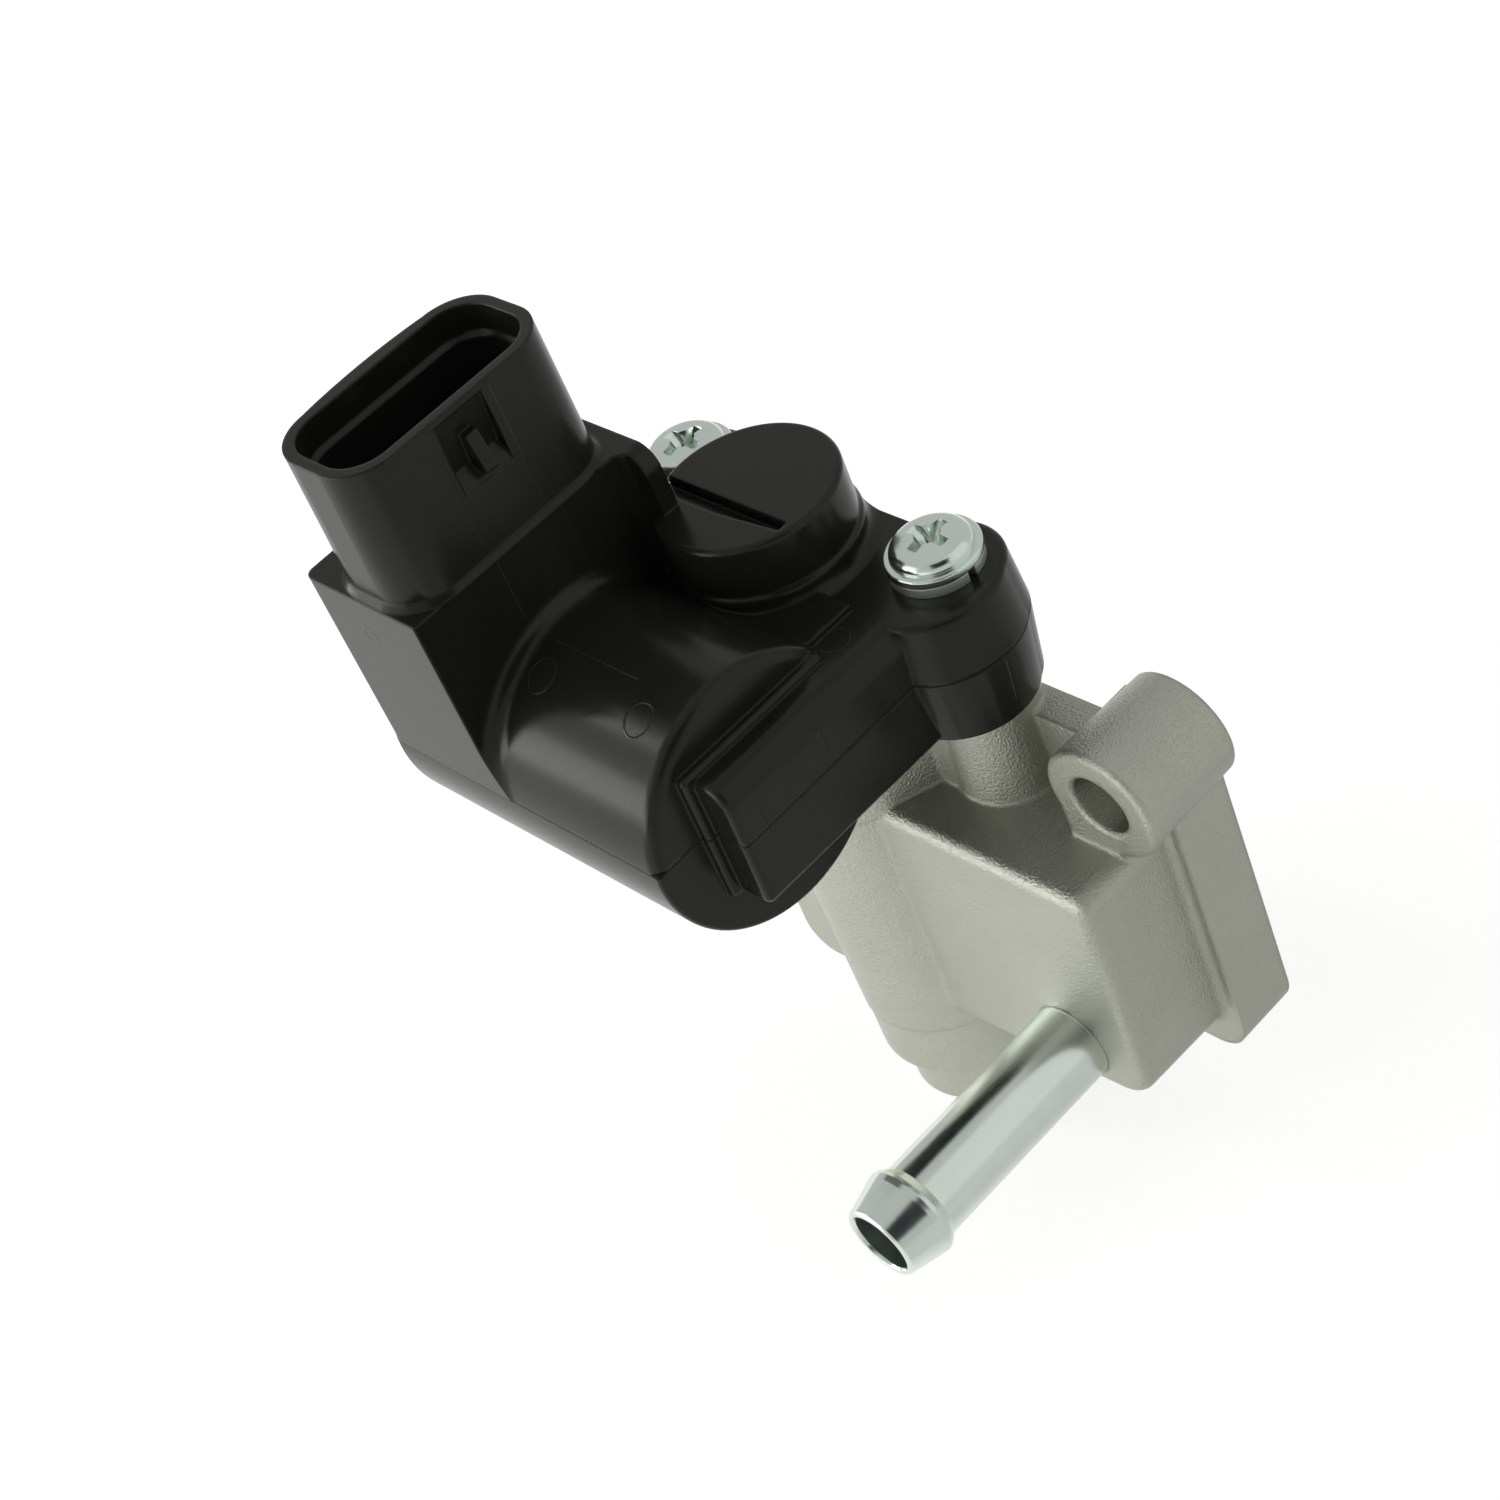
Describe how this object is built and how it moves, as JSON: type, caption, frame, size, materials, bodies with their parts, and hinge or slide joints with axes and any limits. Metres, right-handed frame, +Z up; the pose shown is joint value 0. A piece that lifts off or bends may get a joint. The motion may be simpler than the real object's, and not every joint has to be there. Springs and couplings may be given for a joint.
{
  "type": "idle air control valve",
  "caption": "Rotary solenoid idle air control valve: black motor case with plug socket and round cap, on a die-cast valve body with flange and coolant nipple.",
  "frame": {"origin": "on the mounting face, straight behind the valve shaft, at mid height of the flange", "axes": "+Y out of the mounting face towards the throttle body, +Z up along the valve shaft towards the plug socket"},
  "size_m": [0.0686, 0.0464, 0.1012],
  "materials": {
    "black_plastic": "satin moulded, glass filled",
    "cast_aluminium": "as cast, fine grained",
    "soft_iron": "plain",
    "bobbin_plastic": "moulded",
    "enamelled_wire": "wound copper wire, enamelled",
    "shaft_steel": "ground",
    "magnet_ferrite": "sintered",
    "valve_metal": "turned",
    "bush_brass": "turned",
    "plate_aluminium": "turned",
    "seal_rubber": "moulded",
    "zinc_plate": "zinc plated, clear passivated",
    "tinned_brass": "tin plated"
  },
  "bodies": {
    "base": {"motor_case": "black_plastic", "valve_body": "cast_aluminium", "coil_core": "soft_iron", "coil_bobbin": "bobbin_plastic", "coil_winding_close": "enamelled_wire", "coil_winding_open": "enamelled_wire", "pole_arm_left": "soft_iron", "pole_arm_right": "soft_iron", "upper_bearing": "bush_brass", "lower_bearing": "shaft_steel", "bearing_plate": "plate_aluminium", "plate_seal": "seal_rubber", "shaft_seal": "seal_rubber", "inlet_seal": "seal_rubber", "outlet_seal": "seal_rubber", "coolant_seal": "seal_rubber", "hose_nipple": "zinc_plate", "case_screw_left": "zinc_plate", "case_screw_right": "zinc_plate", "spring_washer_left": "zinc_plate", "spring_washer_right": "zinc_plate", "screw_sleeve_left": "bush_brass", "screw_sleeve_right": "bush_brass", "terminal_pin_front": "tinned_brass", "terminal_pin_middle": "tinned_brass", "terminal_pin_rear": "tinned_brass"},
    "rotor": {"rotor_shaft": "shaft_steel", "rotor_magnet": "magnet_ferrite", "rotary_valve": "valve_metal"}
  },
  "joints": [
    {"name": "valve_rotation", "type": "hinge", "parent": "base", "child": "rotor", "pos_m": [0, -0.01275, 0], "axis": [0, 0, 1], "range_deg": [-35, 35]}
  ]
}
